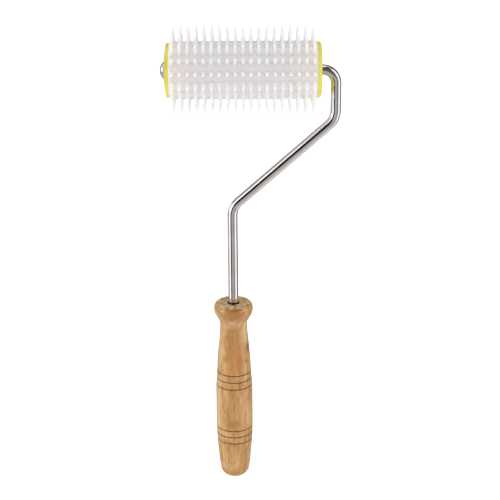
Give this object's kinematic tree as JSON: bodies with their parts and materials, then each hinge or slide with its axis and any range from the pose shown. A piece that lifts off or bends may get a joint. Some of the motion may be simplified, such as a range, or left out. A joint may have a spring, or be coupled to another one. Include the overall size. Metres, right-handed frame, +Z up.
{
  "type": "uncapping roller",
  "caption": "Honeycomb uncapping roller: a needled plastic roller with end caps turns on a cranked steel bar set in a turned wooden handle.",
  "frame": {"origin": "middle of the handle's grip, on the handle's axis", "axes": "+Z up the handle's axis towards the roller, +X along the roller's axis towards the arm of the bar, -Y the front"},
  "size_m": [0.1259, 0.0608, 0.349],
  "materials": {
    "turned_wood": "waxed, with burnt grooves",
    "polished_bar": "polished",
    "needle_plastic": "translucent white",
    "cap_plastic": "satin yellow",
    "washer_steel": "plain",
    "dome_plating": "bright"
  },
  "bodies": {
    "frame": {"handle": "turned_wood", "frame_rod": "polished_bar", "outer_thrust_washer": "washer_steel", "inner_thrust_washer": "washer_steel", "axle_dome_cap": "dome_plating", "axle_lock_washer": "washer_steel"},
    "roller": {"needle_sleeve": "needle_plastic", "outer_end_cap": "cap_plastic", "inner_end_cap": "cap_plastic"}
  },
  "joints": [
    {"name": "roller_spin", "type": "hinge", "parent": "frame", "child": "roller", "pos_m": [0.0086, 0, 0.258], "axis": [1, 0, 0], "continuous": true}
  ]
}
